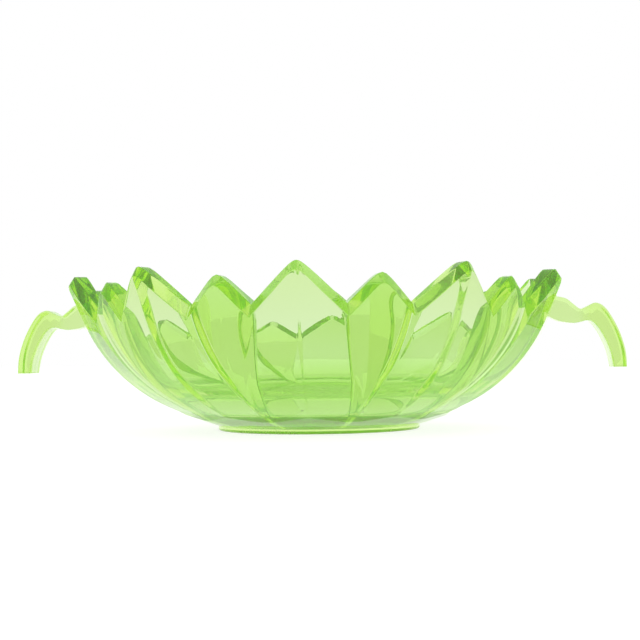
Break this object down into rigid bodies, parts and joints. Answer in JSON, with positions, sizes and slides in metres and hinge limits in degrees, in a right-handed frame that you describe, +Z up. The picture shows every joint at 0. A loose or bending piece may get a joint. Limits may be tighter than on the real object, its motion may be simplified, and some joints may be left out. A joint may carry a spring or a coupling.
{
  "type": "glass dish",
  "caption": "Lotus-shaped pressed glass dish with a pointed petal rim, a low flat foot and curled tab handles, for serving or display.",
  "frame": {"origin": "centre of the foot's resting face, on the surface that the dish stands on", "axes": "+Z up along the bowl's axis; +X from the left handle to the right handle; a large petal points to -Y"},
  "size_m": [0.2416, 0.1982, 0.0603],
  "materials": {
    "uranium_glass": "clear yellow-green glass, fire-polished",
    "ground_glass": "the same glass, finely ground where it rests on the table"
  },
  "bodies": {
    "root": {"bowl": "uranium_glass", "foot": "ground_glass", "handle_right": "uranium_glass", "handle_left": "uranium_glass"}
  },
  "joints": []
}
